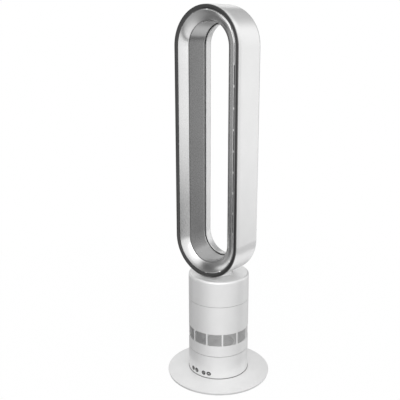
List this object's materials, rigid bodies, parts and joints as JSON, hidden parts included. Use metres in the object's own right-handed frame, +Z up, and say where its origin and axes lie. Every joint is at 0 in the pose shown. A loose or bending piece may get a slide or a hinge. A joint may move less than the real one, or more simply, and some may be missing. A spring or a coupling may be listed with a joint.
{
  "type": "bladeless fan",
  "caption": "Bladeless tower fan: tall racetrack loop with an annular air mouth on a round swinging tower, intake windows, push buttons and a broad round base plate.",
  "frame": {"origin": "centre of the round base where the feet meet the floor", "axes": "+Z up along the axis of the round housings, -Y out of the front of the loop"},
  "size_m": [0.258, 0.258, 0.9086],
  "materials": {
    "white_cover": "satin",
    "white_housing": "satin",
    "white_casing": "gloss",
    "ballast_steel": "matt",
    "rubber": "matt",
    "gland_rubber": "matt",
    "screw_steel": "satin",
    "circuit_board": "satin",
    "switch_plastic": "matt",
    "inner_plastic": "matt",
    "bearing_plastic": "satin",
    "motor_steel": "satin",
    "button_plastic": "satin",
    "mesh_metal": "satin",
    "dark_chrome": "polished",
    "satin_nickel": "polished",
    "dark_nickel": "satin",
    "impeller_plastic": "satin",
    "shaft_steel": "polished"
  },
  "bodies": {
    "base": {"base_cover": "white_cover", "base_weight": "ballast_steel", "rubber_feet": "rubber", "base_screws": "screw_steel", "base_housing": "white_housing", "cord_gland": "gland_rubber", "control_board": "circuit_board", "tact_switches": "switch_plastic", "power_board": "circuit_board", "board_screws": "screw_steel", "bearing_deck": "inner_plastic", "deck_screws": "screw_steel", "swivel_race": "bearing_plastic", "swing_motor": "motor_steel", "swing_motor_screws": "screw_steel"},
    "tower": {"swivel_plate": "inner_plastic", "swivel_screws": "screw_steel", "gear_sector": "bearing_plastic", "retainer_flange": "inner_plastic", "retainer_screws": "screw_steel", "intake_housing": "white_housing", "intake_mesh": "mesh_metal", "impeller_shroud": "inner_plastic", "shroud_screws": "screw_steel", "stator": "inner_plastic", "fan_motor": "motor_steel", "motor_isolators": "rubber", "bucket_cap": "inner_plastic", "upper_housing": "white_housing", "joint_ring": "inner_plastic", "air_duct": "inner_plastic", "neck_seal": "rubber", "loop_casing": "white_casing", "trim_ring": "dark_chrome", "front_flare": "satin_nickel", "inner_diffuser": "dark_nickel", "mouth_spacers": "inner_plastic"},
    "rotor": {"impeller": "impeller_plastic", "motor_shaft": "shaft_steel", "hub_nut": "screw_steel"},
    "swing_pinion": {"drive_pinion": "bearing_plastic"},
    "power_button": {"power_button": "button_plastic"},
    "timer_button": {"timer_button": "button_plastic"},
    "swing_button": {"swing_button": "button_plastic"},
    "speed_button": {"speed_button": "button_plastic"}
  },
  "joints": [
    {"name": "tower_swing", "type": "hinge", "parent": "base", "child": "tower", "pos_m": [0, 0, 0.0744], "axis": [0, 0, 1], "range_deg": [-35, 35]},
    {"name": "pinion_spin", "type": "hinge", "parent": "base", "child": "swing_pinion", "pos_m": [0, 0.035, 0.0706], "axis": [0, 0, 1], "range_deg": [-160, 160]},
    {"name": "impeller_spin", "type": "hinge", "parent": "tower", "child": "rotor", "pos_m": [0, 0, 0.15], "axis": [0, 0, 1], "continuous": true},
    {"name": "power_press", "type": "slide", "parent": "base", "child": "power_button", "axis": [0, 1, 0], "range_m": [0, 0.0007], "stiffness_N_per_m": 800},
    {"name": "timer_press", "type": "slide", "parent": "base", "child": "timer_button", "axis": [0, 1, 0], "range_m": [0, 0.0007], "stiffness_N_per_m": 800},
    {"name": "swing_press", "type": "slide", "parent": "base", "child": "swing_button", "axis": [0, 1, 0], "range_m": [0, 0.0007], "stiffness_N_per_m": 800},
    {"name": "speed_press", "type": "slide", "parent": "base", "child": "speed_button", "axis": [0, 1, 0], "range_m": [0, 0.0007], "stiffness_N_per_m": 800}
  ],
  "couplings": [
    {"joint": "pinion_spin", "follows": "tower_swing", "ratio": 4.5}
  ]
}
